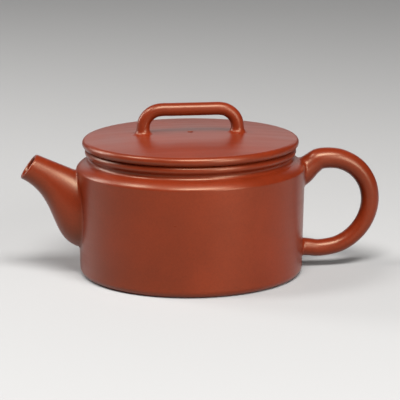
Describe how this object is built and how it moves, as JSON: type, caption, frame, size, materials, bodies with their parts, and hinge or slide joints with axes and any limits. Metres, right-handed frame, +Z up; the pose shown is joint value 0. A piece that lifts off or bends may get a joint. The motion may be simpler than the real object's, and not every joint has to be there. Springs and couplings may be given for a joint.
{
  "type": "clay teapot",
  "caption": "Unglazed red-brown clay teapot: straight cylinder body, short spout, round ear handle and flat lift-off lid with a bridge knob.",
  "frame": {"origin": "centre of the flat foot, on the pot's axis, where it stands on a surface", "axes": "+Z up along the pot's axis, +X from spout to handle, +Y completes the right-handed frame"},
  "size_m": [0.1424, 0.0904, 0.0678],
  "materials": {
    "clay_burnished": "unglazed, burnished satin",
    "clay_plain": "unglazed, unburnished matt"
  },
  "bodies": {
    "pot": {"base_plate": "clay_burnished", "body_wall": "clay_burnished", "shoulder_plate": "clay_burnished", "neck_ring": "clay_burnished", "mouth_ring": "clay_burnished", "spout": "clay_burnished", "strainer": "clay_plain", "handle": "clay_burnished"},
    "lid_seat": {"lid_flange": "clay_plain"},
    "lid": {"lid_rim": "clay_burnished", "lid_plate": "clay_burnished", "bridge_knob": "clay_burnished"}
  },
  "joints": [
    {"name": "lid_lift", "type": "slide", "parent": "pot", "child": "lid_seat", "axis": [0, 0, 1], "range_m": [0, 0.04]},
    {"name": "lid_turn", "type": "hinge", "parent": "lid_seat", "child": "lid", "pos_m": [0, 0, 0.052], "axis": [0, 0, 1], "continuous": true}
  ]
}
